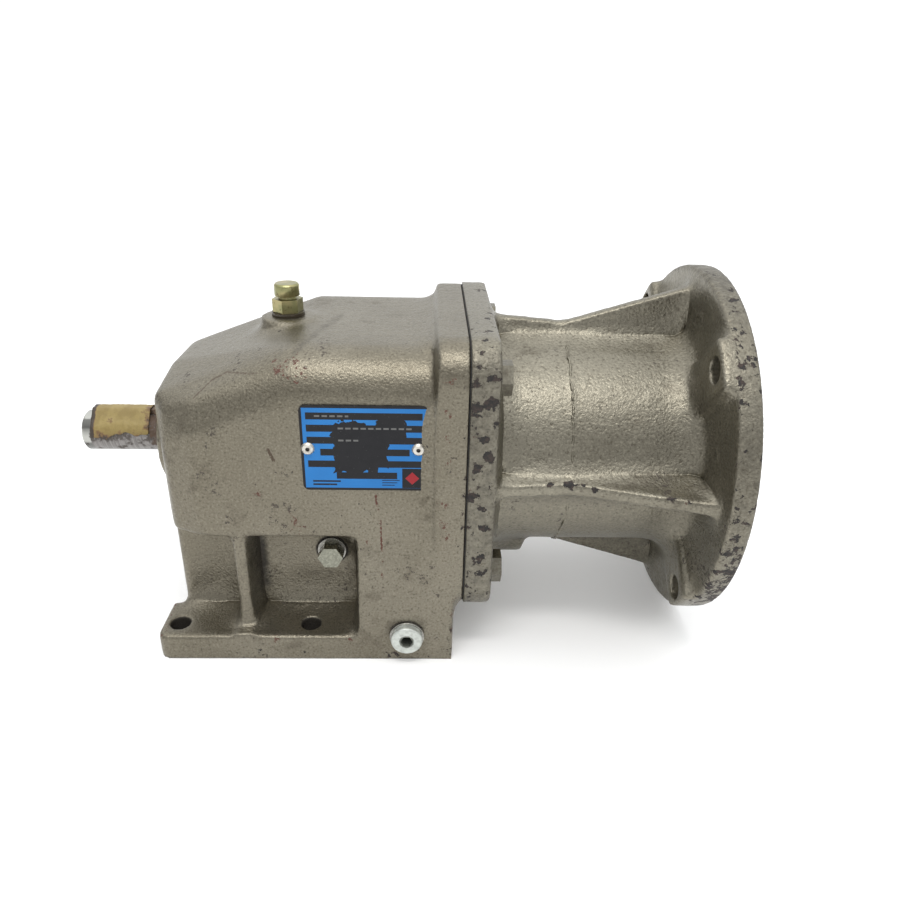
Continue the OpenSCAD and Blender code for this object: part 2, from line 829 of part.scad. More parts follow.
module input_shaft() {
    color("#acadae") difference() {
        union() {
            gear_body(input_teeth, module_1, 0, driven_x - pinion_over / 2, wheel_w + pinion_over,
                      -1, axis_h, gap_down(input_teeth));
            rod(driven_x + wheel_w + 0.9, 101, 12.5);
            rod(100, 150, 10);
            rod(150, in_end_x, input_d / 2);
        }
        key_bar(hub_x + 1, in_end_x + 1, gear_key_w, 6, 12, axis_h);
    }
}

module input_spacer() {
    color("#8f9194") tube(in_brg_x[0] + BRG_MAIN[2], in_brg_x[1], 13, 10);
}

// ---------- coupling ----------

// Points of a wedge about +X, wide enough to cut any part of the coupling
function wedge(half_deg) = [[0, 0], [60, -60 * tan(half_deg)], [60, 60 * tan(half_deg)]];

module jaws(x0, len, start) {
    on_axis(x0) linear_extrude(len) {
        for (i = [0:2]) rotate(start + i * 120) intersection() {
            difference() {
                circle(r = jaw_r);
                circle(r = jaw_inner_r);
            }
            polygon(wedge(jaw_half_deg));
        }
    }
}

module gear_side_hub() {
    color("#8b8d8f") difference() {
        union() {
            rod(hub_x, hub_x + hub_body, hub_r);
            jaws(hub_x + hub_body - 1, jaw_len + 1, 90);
        }
        rod(hub_x - 1, hub_x + hub_body + 1, input_d / 2);
        key_bar(hub_x - 1, hub_x + hub_body + 1, gear_key_w, 5, 12.3, axis_h);
    }
}

module input_hub_key() {
    color("#8f9194") key_bar(hub_x + 1, in_end_x, gear_key_w, 6, 12, axis_h);
}

module coupling_spider() {
    x0 = hub_x + hub_body + jaw_gap;
    color("#c7502c") on_axis(x0) linear_extrude(jaw_len - 2 * jaw_gap) difference() {
        union() {
            circle(r = spider_hub_r);
            for (i = [0:5]) rotate(i * 60) intersection() {
                circle(r = jaw_r);
                polygon(wedge(spider_half_deg));
            }
        }
        circle(r = spider_bore_r);
    }
}

module motor_side_hub() {
    x0 = hub_x + hub_body + jaw_len;
    color("#8b8d8f") difference() {
        union() {
            jaws(x0 - jaw_len, jaw_len + 1, 30);
            rod(x0, x0 + hub_body, hub_r);
            rod(x0 + hub_body, motor_hub_x1, hub_boss_r);
        }
        rod(x0 - 1, motor_hub_x1 + 1, motor_bore_d / 2);
        key_bar(x0 - 1, motor_hub_x1 + 1, key_w, 5, motor_bore_d / 2 + 2.4, axis_h);
        for (a = [0, 90]) at_screw(a, 7) cylinder(h = 14, r = screw_r);
    }
}

// Places children on the axis of the set screw at angle a, z above the shaft axis
module at_screw(a, z) {
    translate([screw_x, 0, axis_h]) rotate([a, 0, 0]) translate([0, 0, z]) children();
}

module hub_set_screws() {
    color("#3c3a37") difference() {
        for (a = [0, 90]) at_screw(a, screw_z[0]) cylinder(h = screw_z[1] - screw_z[0], r = screw_r);
        for (a = [0, 90]) at_screw(a, screw_z[1] - 3) hex(2.5, 4);
    }
}

gearcase();
motor_adapter();
housing_gasket();
housing_bolts();
dowel_pins();
vent_plug();
vent_cap();
level_plug();
level_plug_washer();
drain_plug();
drain_plug_washer();
nameplate();
nameplate_rivets();
output_seal();
input_seal();
output_outer_rings();
countershaft_outer_rings();
input_outer_rings();
seal_side_circlip();
input_bore_circlip();
output_shaft();
output_key();
key_wrap();
output_gear();
output_gear_key();
output_inner_rings();
output_spacer();
output_gear_circlip();
countershaft();
driven_gear();
driven_gear_key();
countershaft_inner_rings();
countershaft_spacer();
driven_gear_circlip();
input_shaft();
input_inner_rings();
input_spacer();
input_hub_key();
gear_side_hub();
coupling_spider();
motor_side_hub();
hub_set_screws();
output_bearing_balls();
output_bearing_cages();
countershaft_bearing_balls();
countershaft_bearing_cages();
input_bearing_balls();
input_bearing_cages();
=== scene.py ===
"""Looks of a foot-mounted inline gear reducer: worn metallic paint on sand castings, plated plugs and
turned steel.
"""
import json
import math

import bpy
import numpy as np
from mathutils import Matrix, Vector


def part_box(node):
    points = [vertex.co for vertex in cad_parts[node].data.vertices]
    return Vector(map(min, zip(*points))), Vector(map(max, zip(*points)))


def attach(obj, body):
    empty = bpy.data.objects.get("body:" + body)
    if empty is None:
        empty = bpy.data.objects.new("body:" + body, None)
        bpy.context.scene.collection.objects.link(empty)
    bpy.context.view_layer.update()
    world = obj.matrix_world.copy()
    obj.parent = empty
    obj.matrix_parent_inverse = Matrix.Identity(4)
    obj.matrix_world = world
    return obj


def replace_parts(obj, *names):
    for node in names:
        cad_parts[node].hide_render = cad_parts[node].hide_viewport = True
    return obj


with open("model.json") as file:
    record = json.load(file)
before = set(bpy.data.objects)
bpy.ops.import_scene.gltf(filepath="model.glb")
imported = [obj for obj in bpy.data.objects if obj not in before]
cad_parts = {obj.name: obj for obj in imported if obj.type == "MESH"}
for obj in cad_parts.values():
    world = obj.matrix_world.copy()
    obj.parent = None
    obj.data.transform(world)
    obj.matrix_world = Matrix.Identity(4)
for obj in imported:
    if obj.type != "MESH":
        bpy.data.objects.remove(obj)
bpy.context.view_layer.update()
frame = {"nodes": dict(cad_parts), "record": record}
NODES = frame["nodes"]
SCENE = bpy.context.scene

MM = 0.001  # the frame is in metres, and all sizes below are in millimetres

# The gear case
AXIS_Z = 85
BODY_HALF = 58
FOOT_HALF = 65
FOOT_HOLE_X = 30
FOOT_HOLE_Y = 55
RECESS_Y = 39
OVERHANG_Z = 61
NOSE_X = -32.4
BORE_R = 21.2
ROOF_BREAK_X = 27.6
ROOF_SLOPE = 0.42
FLANGE_STEP = 5
ROOF_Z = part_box("gearcase")[1].z / MM - FLANGE_STEP
CASE_FLANGE_X = 86.6
CASE_FACE_X = 99.5
CASE_OPENING_R = 60
RIB_X = 1.6
DRAIN_X = 74.6
DRAIN_Z = 13.3
LEVEL_X = 39.1
LEVEL_Z = 42.5

# The motor adapter
ADAPTER_X = 100
ADAPTER_PLATE_END = 112
HUB_END_X = 150
NECK_R = 50
SEAM_X = 145
COUNTER_Z = 43
SEAT_R = 17.5
SEAT_END_X = 118
FLANGE_BACK_X = 202.7
PILOT_X = 206.5
PILOT_R = 58
FACE_X = 212.8
HOLE_OUT = 149.2 / 2 / math.sqrt(2)

# The smaller pieces
SHAFT_R = 9.525
CASE_END_X = -47.5
TAPE_END_X = -76.2
TAPE_SKIN = 0.42
KEY_HALF = 2.38
KEY_TOP = 11.76
RIVET_DX = 22.5
PLATE_LOW, PLATE_HIGH = ((v.x / MM, v.z / MM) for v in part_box("nameplate"))
RIVETS_MIDDLE = (PLATE_LOW[0] + PLATE_HIGH[0]) / 2 - 0.7
VENT_HEIGHT = 7.6
VENT_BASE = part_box("vent_plug")[1].z / MM - VENT_HEIGHT

# How the castings are remade, in millimetres and in rounds of smoothing
VOXEL = 1.0
FILLET_PASSES = 3
FILL_ROUNDS = 8
EDGE_ROUNDS = 11

# Spots, chips, cracks and creases given by x and z lie where y is below NEAR_SIDE. FAR is a distance from
# a crack or a crease at which nothing of it is left.
NEAR_SIDE = -30
FAR = 6.0


# ---------- camera, floor and light ----------

def make_camera():
    """A camera above and in front of the part, turned by its pan, pitch and roll in degrees."""
    pan, pitch, roll = (math.radians(a) for a in (-1.91, 25.59, 1.43))
    data = bpy.data.cameras.new("camera")
    data.sensor_width = 36
    data.lens = 29.49
    data.clip_start = 0.01
    cam = bpy.data.objects.new("camera", data)
    cam.matrix_world = (
        Matrix.Translation((0.0832, -0.3304, 0.2342))
        @ Matrix.Rotation(pan, 4, "Z")
        @ Matrix.Rotation(math.pi / 2 - pitch, 4, "X")
        @ Matrix.Rotation(roll, 4, "Z")
    )
    SCENE.collection.objects.link(cam)
    SCENE.camera = cam


def area_light(name, at, aim, size, power, tint):
    data = bpy.data.lights.new(name, "AREA")
    data.shape = "RECTANGLE"
    data.size, data.size_y = size
    data.energy = power
    data.color = tint
    lamp = bpy.data.objects.new(name, data)
    lamp.location = at
    lamp.rotation_euler = (Vector(aim) - Vector(at)).to_track_quat("-Z", "Y").to_euler()
    SCENE.collection.objects.link(lamp)


def make_sky():
    """White all round, brightest overhead and dimmest low in front of the part."""
    world = bpy.data.worlds.new("studio")
    SCENE.world = world
    world.use_nodes = True
    tree = world.node_tree
    split = tree.nodes.new("ShaderNodeSeparateXYZ")
    tree.links.new(tree.nodes.new("ShaderNodeTexCoord").outputs["Generated"], split.inputs[0])

    def level(value, low, high, at_low, at_high):
        node = tree.nodes.new("ShaderNodeMapRange")
        node.interpolation_type = "SMOOTHSTEP"
        tree.links.new(value, node.inputs["Value"])
        for key, number in (("From Min", low), ("From Max", high), ("To Min", at_low), ("To Max", at_high)):
            if isinstance(number, bpy.types.NodeSocket):
                tree.links.new(number, node.inputs[key])
            else:
                node.inputs[key].default_value = number
        return node.outputs[0]

    low_ring = level(split.outputs["Y"], -0.6, 0.1, 0.50, 1.10)
    low_ring = level(split.outputs["X"], -0.95, -0.60, 0.42, low_ring)
    strength = level(split.outputs["Z"], 0.22, 0.90, low_ring, 1.66)
    sky = tree.nodes["Background"]
    sky.inputs["Color"].default_value = (0.98, 0.99, 1.0, 1)
    tree.links.new(strength, sky.inputs["Strength"])


def make_studio():
    SCENE.view_settings.view_transform = "Standard"
    make_sky()
    middle = (0.05, 0, 0.08)
    area_light("key", (0.06, -0.34, 0.88), middle, (0.55, 0.11), 2.3, (1, 0.98, 0.96))


def make_floor():
    half = 6.0  # metres
    floor = mesh_object(
        "floor",
        [(-half, -half, 0), (half, -half, 0), (half, half, 0), (-half, half, 0)],
        [(0, 1, 2, 3)],
        floor_material(),
    )


# ---------- materials ----------

class Shader:
    """A material's node tree, with short calls for the nodes that the finishes share."""

    def __init__(self, name):
        self.mat = bpy.data.materials.new(name)
        self.mat.use_nodes = True
        self.tree = self.mat.node_tree
        self.bsdf = self.tree.nodes["Principled BSDF"]
        self.coords = self.add("ShaderNodeTexCoord").outputs["Object"]

    def add(self, kind, **inputs):
        node = self.tree.nodes.new(kind)
        for key, value in inputs.items():
            self.plug(node.inputs[key], value)
        return node

    def plug(self, socket, value):
        if isinstance(value, bpy.types.NodeSocket):
            self.tree.links.new(value, socket)
        else:
            socket.default_value = value

    def noise(self, scale, detail=3.0, rough=0.55, stretch=(1, 1, 1)):
        where = self.coords
        if stretch != (1, 1, 1):
            where = self.add("ShaderNodeMapping", Vector=where, Scale=stretch).outputs[0]
        node = self.add("ShaderNodeTexNoise", Vector=where, Scale=scale, Detail=detail, Roughness=rough)
        return node.outputs["Fac"]

    def math(self, how, a, b=0.0, c=None):
        node = self.tree.nodes.new("ShaderNodeMath")
        node.operation = how
        self.plug(node.inputs[0], a)
        self.plug(node.inputs[1], b)
        if c is not None:
            self.plug(node.inputs[2], c)
        return node.outputs[0]

    def length(self, a, b):
        return self.math("SQRT", self.math("ADD", self.math("MULTIPLY", a, a), self.math("MULTIPLY", b, b)))

    def shake(self, value, noise, reach):
        """value, moved up or down by a noise of height reach."""
        return self.math("MULTIPLY_ADD", self.math("SUBTRACT", noise, 0.5), reach, value)

    def times(self, *values):
        total = values[0]
        for value in values[1:]:
            total = self.math("MULTIPLY", total, value)
        return total

    def most(self, *values):
        total = values[0]
        for value in values[1:]:
            total = self.math("MAXIMUM", total, value)
        return total

    def place(self):
        """The point's X, Y and Z, in millimetres."""
        split = self.add("ShaderNodeSeparateXYZ", Vector=self.coords)
        return [self.math("MULTIPLY", out, 1 / MM) for out in split.outputs]

    def step(self, value, low, high):
        """0 below low, 1 above high, and smooth between them."""
        node = self.tree.nodes.new("ShaderNodeMapRange")
        node.interpolation_type = "SMOOTHSTEP"
        self.plug(node.inputs["Value"], value)
        node.inputs["From Min"].default_value = low
        node.inputs["From Max"].default_value = high
        return node.outputs[0]

    def attribute(self, name):
        node = self.tree.nodes.new("ShaderNodeAttribute")
        node.attribute_name = name
        return node.outputs["Fac"]

    def mix(self, fac, a, b):
        node = self.tree.nodes.new("ShaderNodeMix")
        node.data_type = "RGBA"
        for key, value in (("Factor", fac), ("A", a), ("B", b)):
            socket = [s for s in node.inputs if s.name == key and s.enabled][0]
            self.plug(socket, (*value, 1) if isinstance(value, tuple) else value)
        return [s for s in node.outputs if s.enabled][0]

    def blend(self, fac, a, b):
        """A number that goes from a to b as fac goes from 0 to 1."""
        node = self.tree.nodes.new("ShaderNodeMapRange")
        self.plug(node.inputs["Value"], fac)
        self.plug(node.inputs["To Min"], a)
        self.plug(node.inputs["To Max"], b)
        return node.outputs[0]

    def bump(self, height, depth, under=None):
        """A bump that is depth millimetres high where height is 1."""
        node = self.add("ShaderNodeBump", Height=height, Distance=depth * MM, Strength=1.0)
        if under is not None:
            self.plug(node.inputs["Normal"], under)
        return node.outputs[0]

    def finish(self, **inputs):
        for key, value in inputs.items():
            self.plug(self.bsdf.inputs[key.replace("_", " ")], value)
        return self.mat


def floor_material():
    s = Shader("floor")
    return s.finish(
        Base_Color=s.mix(s.noise(3, 3.0), (0.86, 0.86, 0.86), (0.89, 0.89, 0.885)),
        Roughness=0.8,
        Emission_Color=(1, 1, 1, 1),
        Emission_Strength=0.14,
    )


def marks(s, field, reach, grain, low):
    """Ragged spots: where a field of soft blobs and a noise together pass low."""
    return s.step(s.shake(s.attribute(field), grain, reach), low, low + 0.05)


def line(s, field, width, ragged):
    """A thin uneven line, where the distance in millimetres that field holds is small."""
    return s.step(s.shake(s.attribute(field), s.noise(900, 2.0), ragged), width, width - 0.25)


def turned_face(s):
    """Fine rings round the shaft axis, as a facing cut leaves them."""
    _, y, z = s.place()
    ring = s.add("ShaderNodeCombineXYZ", X=s.length(y, s.math("SUBTRACT", z, AXIS_Z)))
    node = s.add("ShaderNodeTexNoise", Vector=ring.outputs[0], Scale=6.0, Detail=2.0)
    return node.outputs["Fac"]


GRAIN_DEPTH = 265  # the grain's height in millimetres, times its scale


def cast_paint(name, low_tone, high_tone, grain_scale, lump_share):
    """Silver-bronze metallic paint on a sand casting, with chips to dark iron, rust specks, bare cut faces,
    painted shade in holes, recesses and corners, and a painted glint and shade on its grain. The casting's
    mesh holds the fields that place the wear and the painted shade: see cast_copy.
    """
    s = Shader(name)
    edge = s.attribute("edge")
    hollow = s.attribute("hollow")
    bare = s.step(s.attribute("bare"), 0.4, 0.6)
    grain = s.noise(grain_scale, 2.0, 0.55)
    lumps = s.noise(260, 2.0, 0.5)
    fine = s.noise(2300, 1.0)
    cloud = s.noise(14, 3.0)
    colour = s.mix(s.step(cloud, 0.35, 0.68), low_tone, high_tone)
    # Painted glint on the grain's crests, and painted shade in its hollows
    glint = s.times(s.step(grain, 0.50, 0.72), 0.28)
    colour = s.mix(glint, colour, tuple(1.7 * c for c in high_tone))
    grain_shade = s.times(s.step(grain, 0.46, 0.28), 0.60)
    colour = s.mix(grain_shade, colour, (0.075, 0.064, 0.046))

    # Dirt in random smudges, and painted shade in the concave corners that the hollow field marks
    smudge = s.times(s.step(s.noise(75, 5.0, 0.7), 0.50, 0.66), s.step(s.noise(21, 2.0), 0.48, 0.62), 0.40)
    darkened = s.most(smudge, s.times(s.step(hollow, 0.25, 1.0), 0.42))
    colour = s.mix(darkened, colour, (0.080, 0.066, 0.048))
    specks = s.times(s.step(s.noise(520, 1.0), 0.69, 0.73), s.step(s.noise(30, 3.0), 0.50, 0.60), 0.75)
    specks = s.most(specks, s.times(marks(s, "dark_spots", 4.0, s.noise(560, 4.0, 0.7), 1.05), 0.85))
    colour = s.mix(specks, colour, (0.048, 0.038, 0.029))

    red_grain = s.noise(560, 4.0, 0.72)
    red = s.times(marks(s, "rust_spots", 3.8, red_grain, 0.98), 0.9)
    stray = s.math("MULTIPLY_ADD", edge, 0.07, red_grain)
    stray = s.times(s.step(stray, 0.70, 0.73), s.step(s.noise(45, 2.0), 0.54, 0.62), 0.8)
    crack = s.times(line(s, "crack", 0.55, 1.4), s.step(s.noise(170, 2.0), 0.42, 0.50))
    red = s.most(red, stray, crack)
    colour = s.mix(red, colour, (0.090, 0.032, 0.021))
    creases = s.most(s.times(line(s, "crease", 0.36, 0.6), 0.7), line(s, "scratch", 0.8, 0.6))
    colour = s.mix(creases, colour, (0.070, 0.048, 0.030))

    chip = marks(s, "chips", 2.8, s.noise(210, 5.0, 0.66), 0.57)
    chip_tone = s.mix(s.step(s.noise(600, 3.0), 0.4, 0.65), (0.015, 0.013, 0.012), (0.050, 0.033, 0.026))
    colour = s.mix(chip, colour, chip_tone)

    # Near black: painted shade in holes, round the plugs, behind the ribs and under the neck, dirt across
    # the roof, and a darker flange rim and plate sides
    shade_and_darkening = s.step(s.shake(s.attribute("shade_and_darkening"), s.noise(300, 3.0), 0.5), 0.2, 0.9)
    colour = s.mix(s.times(shade_and_darkening, 0.9), colour, (0.016, 0.013, 0.010))

    turned = turned_face(s)
    iron = s.mix(s.step(turned, 0.35, 0.65), (0.30, 0.295, 0.28), (0.42, 0.415, 0.40))
    iron = s.mix(s.step(s.noise(60, 4.0, 0.65), 0.52, 0.72), iron, (0.16, 0.10, 0.06))
    colour = s.mix(bare, colour, iron)

    gone = s.most(chip, red, creases, specks, s.times(shade_and_darkening, 0.8))
    rough = s.blend(s.step(fine, 0.3, 0.7), 0.30, 0.42)
    rough = s.blend(s.most(gone, darkened), rough, 0.66)
    rough = s.blend(bare, rough, 0.38)
    peel = s.math("MULTIPLY_ADD", lumps, lump_share, grain)
    peel = s.math("MULTIPLY", peel, s.blend(bare, 1.0, 0.0))
    normal = s.bump(peel, GRAIN_DEPTH / grain_scale)
    normal = s.bump(fine, 0.03, normal)
    normal = s.bump(s.math("SUBTRACT", 1.0, chip), 0.20, normal)
    normal = s.bump(s.times(turned, bare), 0.02, normal)
    return s.finish(
        Base_Color=colour, Metallic=s.blend(gone, 0.86, 0.15), Roughness=rough, Normal=normal
    )


def metal(name, colour, rough, grime, stretch=(1, 1, 1)):
    """Machined or plated metal: fine tool marks, uneven gloss and grime in patches."""
    s = Shader(name)
    tool = s.noise(900, 2.0, 0.6, stretch)
    patch = s.times(s.step(s.noise(160, 5.0, 0.65), 0.50, 0.70), grime)
    darker = tuple(c * 0.72 for c in colour)
    tone = s.mix(s.step(tool, 0.35, 0.7), darker, colour)
    tone = s.mix(patch, tone, (0.06, 0.045, 0.03))
    gloss = s.blend(s.step(s.noise(330, 3.0), 0.3, 0.7), rough * 0.75, rough * 1.3)
    return s.finish(
        Base_Color=tone,
        Metallic=s.blend(patch, 1.0, 0.3),
        Roughness=s.blend(patch, gloss, 0.75),
        Normal=s.bump(tool, 0.02),
    )


def moulded(name, colour, rough):
    """Rubber, polymer or fibre, with a matt mottled skin."""
    s = Shader(name)
    skin = s.noise(700, 3.0, 0.6)
    paler = tuple(min(1.0, c * 1.6 + 0.01) for c in colour)
    tone = s.mix(s.step(s.noise(120, 4.0), 0.4, 0.75), colour, paler)
    return s.finish(
        Base_Color=tone,
        Roughness=s.blend(skin, rough * 0.85, min(1.0, rough * 1.2)),
        Normal=s.bump(skin, 0.04),
    )


def rivet_finish(name):
    """Pale drive rivets, with painted shade in the dimple in the middle."""
    s = Shader(name)
    x, _, z = s.place()
    across = s.math("SUBTRACT", s.math("ABSOLUTE", s.math("SUBTRACT", x, RIVETS_MIDDLE)), RIVET_DX)
    up = s.math("SUBTRACT", z, (PLATE_LOW[1] + PLATE_HIGH[1]) / 2)
    # Painted shade in the dimple in the middle of each rivet
    dimple_shade = s.step(s.length(across, up), 1.05, 0.75)
    tone = s.mix(s.step(s.noise(500, 3.0), 0.4, 0.7), (0.58, 0.56, 0.51), (0.36, 0.34, 0.30))
    return s.finish(
        Base_Color=s.mix(dimple_shade, tone, (0.020, 0.018, 0.016)),
        Metallic=s.blend(dimple_shade, 0.9, 0.1),
        Roughness=s.blend(s.noise(400, 2.0), 0.25, 0.42),
        Normal=s.bump(s.noise(1400, 2.0), 0.012),
    )


def drain_finish(name):
    """Pale passivated zinc, with painted shade in and round the socket and on the head's flank by the wall.
    """
    s = Shader(name)
    x, y, z = s.place()
    across = s.math("SUBTRACT", x, DRAIN_X)
    up = s.math("SUBTRACT", z, DRAIN_Z)
    # Painted shade in and round the socket, and on the flank where the head meets the wall
    off = s.math("MULTIPLY_ADD", s.noise(600, 3.0), 1.2, s.length(across, up))
    dimming = s.most(s.step(off, 4.2, 3.6), s.times(s.step(y, -FOOT_HALF - 0.6, -FOOT_HALF + 0.4), 0.8))
    tone = s.mix(s.step(s.noise(420, 4.0), 0.35, 0.7), (0.60, 0.63, 0.59), (0.44, 0.46, 0.43))
    return s.finish(
        Base_Color=s.mix(s.times(dimming, 0.85), tone, (0.045, 0.050, 0.035)),
        Metallic=s.blend(dimming, 0.55, 0.3),
        Roughness=s.blend(s.noise(300, 3.0), 0.30, 0.48),
        Normal=s.bump(s.noise(1300, 2.0), 0.015),
    )


def vent_finish(name):
    """Yellow zinc plate, iridescent in patches, with a ring of painted shade at its foot, where it meets the
    case.
    """
    s = Shader(name)
    _, _, z = s.place()
    # Painted shade at the plug's foot, where it meets the case
    ring = s.step(z, VENT_BASE + 0.55, VENT_BASE + 0.25)
    patch = s.step(s.noise(150, 3.0), 0.38, 0.62)
    tone = s.mix(patch, (0.37, 0.325, 0.165), (0.26, 0.255, 0.125))
    tone = s.mix(s.times(s.step(s.noise(420, 4.0, 0.7), 0.58, 0.70), 0.7), tone, (0.09, 0.065, 0.03))
    tone = s.mix(ring, tone, (0.045, 0.035, 0.022))
    return s.finish(
        Base_Color=tone,
        Metallic=s.blend(ring, 0.95, 0.2),
        Roughness=s.blend(s.noise(300, 3.0), 0.20, 0.42),
        Normal=s.bump(s.noise(1100, 2.0), 0.02),
    )


def shaft_finish(name):
    """Turned steel: bright at the free end, grey along its length, black and rusty next to the housing."""
    s = Shader(name)
    x, _, z = s.place()
    lathe = s.noise(2600, 1.0, 0.5, (1, 0.02, 0.02))
    blotch = s.noise(210, 5.0, 0.7)
    near_case = s.times(s.step(x, CASE_END_X - 4, CASE_END_X), s.step(z, AXIS_Z - 6, AXIS_Z - 3))
    rust = s.step(s.math("MULTIPLY_ADD", near_case, 0.24, blotch), 0.63, 0.76)
    above = s.math("SUBTRACT", z, AXIS_Z - 4.5)
    streak = s.math("ABSOLUTE", s.math("MULTIPLY_ADD", s.math("ADD", x, 61.5), -0.55, above))
    streak = s.times(s.step(streak, 2.2, 0.6), s.step(x, -66, -64.5), s.step(x, -54, -57))
    under_tape = s.times(s.step(x, TAPE_END_X - 1.2, TAPE_END_X), s.step(z, AXIS_Z - 4.0, AXIS_Z - 0.5))
    under_tape = s.most(under_tape, streak)
    black = s.step(s.math("MULTIPLY_ADD", under_tape, 0.15, s.noise(260, 5.0, 0.7)), 0.58, 0.68)
    tone = s.mix(s.step(lathe, 0.3, 0.7), (0.165, 0.155, 0.148), (0.250, 0.236, 0.226))
    # Painted sheen: bright and dark streaks along the free end
    sheen = s.step(s.noise(160, 1.0, 0.5, (0.05, 1, 1)), 0.40, 0.56)
    bright = s.mix(sheen, (0.15, 0.15, 0.14), (0.44, 0.44, 0.41))
    tone = s.mix(s.step(x, TAPE_END_X, TAPE_END_X - 0.6), tone, bright)
    tone = s.mix(s.times(black, 0.75), tone, (0.060, 0.046, 0.036))
    tone = s.mix(s.times(rust, 0.85), tone, (0.085, 0.050, 0.030))
    dull = s.most(rust, black)
    return s.finish(
        Base_Color=tone,
        Metallic=s.blend(dull, 0.95, 0.1),
        Roughness=s.blend(dull, 0.36, 0.8),
        Normal=s.bump(lathe, 0.015, s.bump(s.times(blotch, dull), 0.15)),
    )


def wrap_finish(name):
    """Yellow-ochre protective tape, browned and grimy towards its edges."""
    s = Shader(name)
    x, _, z = s.place()
    fibre = s.noise(1500, 3.0, 0.6, (0.35, 1, 1))
    stain = s.noise(170, 5.0, 0.65)
    low = s.step(z, AXIS_Z + 7, AXIS_Z + 1)
    free_end = s.times(s.step(x, TAPE_END_X + 3, TAPE_END_X + 1), 2.2)
    case_end = s.times(s.step(x, CASE_END_X - 5.5, CASE_END_X - 1.5), 0.7)
    darkened = s.math("MULTIPLY_ADD", s.most(low, free_end, case_end), 0.20, stain)
    tone = s.mix(s.step(stain, 0.35, 0.65), (0.225, 0.163, 0.050), (0.300, 0.228, 0.078))
    tone = s.mix(s.step(darkened, 0.60, 0.74), tone, (0.16, 0.090, 0.035))
    tone = s.mix(s.step(darkened, 0.72, 0.80), tone, (0.045, 0.032, 0.022))
    return s.finish(Base_Color=tone, Roughness=0.55, Normal=s.bump(fibre, 0.05, s.bump(stain, 0.2)))


def nameplate_finish(name):
    """Printed aluminium plate: blue field, black border and plain dark bars, with nothing written on it."""
    s = Shader(name)
    x, _, z = s.place()
    width = PLATE_HIGH[0] - PLATE_LOW[0]
    height = PLATE_HIGH[1] - PLATE_LOW[1]
    u = s.blend(s.math("DIVIDE", s.math("SUBTRACT", x, PLATE_LOW[0]), width), 0.0, 1.0)
    v = s.blend(s.math("DIVIDE", s.math("SUBTRACT", PLATE_HIGH[1], z), height), 0.0, 1.0)

    def panel(left, right, top, bottom, place=(u, v)):
        """1 inside a rectangle given in fractions of the plate's width and height, and 0 outside it."""
        across = s.math("COMPARE", place[0], (left + right) / 2, (right - left) / 2)
        down = s.math("COMPARE", place[1], (top + bottom) / 2, (bottom - top) / 2)
        return s.times(across, down)

    border = 1.1
    bar_top, bar_bottom, bar_pitch = 0.08, 0.16, 0.14
    inner = panel(border / width, 1 - border / width, border / height, 1 - border / height)
    bars = [
        panel(left, right, bar_top + row * bar_pitch, bar_bottom + row * bar_pitch)
        for row, (left, right) in enumerate(
            [(0.05, 0.95), (0.05, 0.95), (0.05, 0.95), (0.15, 0.85), (0.05, 0.95), (0.27, 0.75)]
        )
    ]
    ragged = (s.shake(u, s.noise(190, 2.0), 0.16), s.shake(v, s.noise(230, 2.0), 0.26))
    block = s.most(
        panel(0.24, 0.60, 0.20, 0.80, ragged),
        panel(0.60, 0.82, 0.15, 0.40, ragged),
        panel(0.55, 0.68, 0.35, 0.72, ragged),
    )
    badge = panel(0.79, 0.95, 0.73, 0.97)
    small = [panel(0.08, 0.30 - 0.03 * row, 0.88 + 0.04 * row, 0.90 + 0.04 * row) for row in range(2)]
    small += [panel(0.63, 0.77 - 0.02 * row, 0.87 + 0.03 * row, 0.88 + 0.03 * row) for row in range(3)]
    dark = s.most(*bars, block, badge, *small, s.math("SUBTRACT", 1.0, inner))
    du = s.math("MULTIPLY", s.math("ABSOLUTE", s.math("SUBTRACT", u, 0.87)), width)
    dv = s.math("MULTIPLY", s.math("ABSOLUTE", s.math("SUBTRACT", v, 0.85)), height)
    diamond = s.math("LESS_THAN", s.math("ADD", du, dv), 2.9)
    dash = s.math("LESS_THAN", s.math("FRACT", s.math("MULTIPLY", u, 17.0)), 0.7)
    stamped = s.most(
        panel(0.10, 0.38, 0.11, 0.13), panel(0.29, 0.87, 0.25, 0.27), panel(0.29, 0.45, 0.39, 0.41)
    )
    stamped = s.times(stamped, dash)

    wear = s.step(s.noise(900, 4.0, 0.7), 0.64, 0.70)
    tone = s.mix(s.step(s.noise(40, 2.0), 0.3, 0.7), (0.018, 0.155, 0.430), (0.024, 0.182, 0.490))
    tone = s.mix(dark, tone, (0.012, 0.012, 0.014))
    tone = s.mix(diamond, tone, (0.30, 0.020, 0.026))
    tone = s.mix(s.times(stamped, 0.30), tone, (0.42, 0.42, 0.40))
    tone = s.mix(s.times(wear, dark, 0.35), tone, (0.20, 0.20, 0.20))
    scuff = s.step(s.noise(260, 3.0), 0.4, 0.7)
    return s.finish(
        Base_Color=tone,
        Specular_IOR_Level=0.22,
        Roughness=s.blend(scuff, 0.34, 0.50),
        Normal=s.bump(s.noise(1300, 2.0), 0.010),
    )


